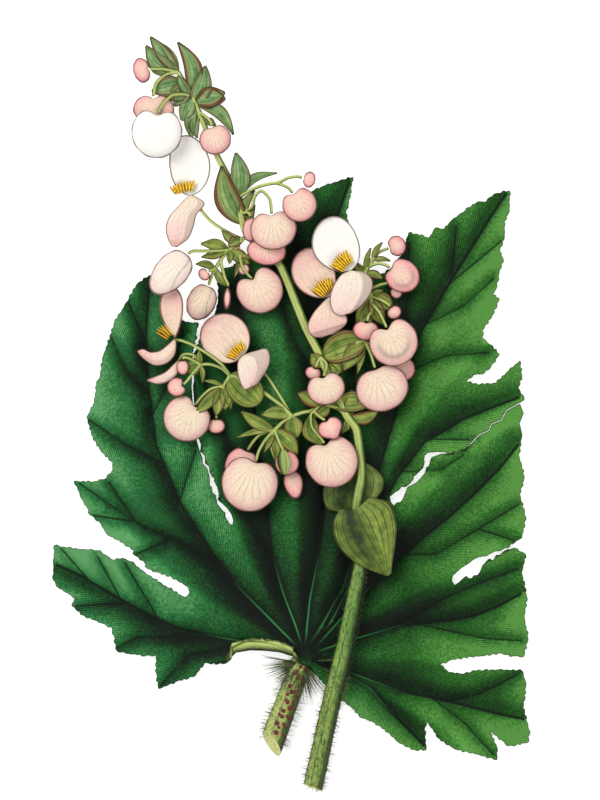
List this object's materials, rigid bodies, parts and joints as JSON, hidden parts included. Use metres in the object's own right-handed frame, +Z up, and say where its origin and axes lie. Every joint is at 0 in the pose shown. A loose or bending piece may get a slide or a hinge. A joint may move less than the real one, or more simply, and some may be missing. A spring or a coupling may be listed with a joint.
{
  "type": "begonia leaf with flowering stem",
  "caption": "Star-shaped, toothed and pleated begonia leaf on a cut hairy stalk, with a cut flowering stem of pink and cream blooms, buds and bracts lying across it.",
  "frame": {"origin": "on the surface that the part lies on, under the middle of the leaf stalk's flat underside, a quarter of the way from the leaf's heart to the stalk's cut end", "axes": "+Y from the cut ends towards the tip of the flowering stem, +X to the right as seen from above, +Z up from the surface"},
  "size_m": [0.1921, 0.3035, 0.022],
  "materials": {
    "leaf_green": "satin, pleated",
    "stalk_green": "satin, hairy and red spotted",
    "stem_green": "satin, finely hairy",
    "petal_pink": "silky",
    "petal_white": "silky",
    "stamen_yellow": "matte",
    "pod_green": "satin, ribbed"
  },
  "bodies": {
    "root": {"bloom_centre_low": "petal_pink", "bloom_left_drooping": "petal_pink", "bloom_left_folded": "petal_pink", "bloom_left_low": "petal_pink", "bloom_low_back": "petal_pink", "bloom_low_large": "petal_pink", "bloom_low_right": "petal_pink", "bloom_low_rose": "petal_pink", "bloom_middle": "petal_pink", "bloom_right": "petal_pink", "bloom_right_back": "petal_pink", "bloom_right_low": "petal_pink", "bloom_right_rose": "petal_pink", "bloom_tip_back": "petal_pink", "bloom_tip_right": "petal_pink", "bloom_tip_white": "petal_white", "bloom_upper_middle": "petal_pink", "bloom_upper_right": "petal_pink", "bloom_upper_rose": "petal_pink", "bract_lower_back": "stem_green", "bract_lower_front": "stem_green", "bud_centre_back": "petal_pink", "bud_heart": "petal_pink", "bud_left_kidney": "petal_pink", "bud_left_low": "petal_pink", "bud_left_round": "petal_pink", "bud_left_small": "petal_pink", "bud_low_pointed": "petal_pink", "bud_narrow": "petal_pink", "bud_right_edge": "petal_pink", "bud_right_pair": "petal_pink", "bud_right_top": "petal_pink", "bud_right_under": "petal_pink", "bud_tip": "petal_pink", "bud_upper_left": "petal_pink", "bud_upper_right": "petal_pink", "bud_upper_small": "petal_pink", "flower_stem": "stem_green", "leaf_blade": "leaf_green", "leaf_stalk": "stalk_green", "open_bloom_behind": "petal_pink", "open_bloom_centre": "petal_pink", "open_bloom_left": "petal_pink", "open_bloom_sickle": "petal_pink", "open_bloom_upper": "petal_white", "open_bloom_white": "petal_white", "seed_pod": "pod_green", "stamens_behind": "stamen_yellow", "stamens_centre": "stamen_yellow", "stamens_left": "stamen_yellow", "stamens_upper": "stamen_yellow", "stamens_white": "stamen_yellow"}
  },
  "joints": []
}
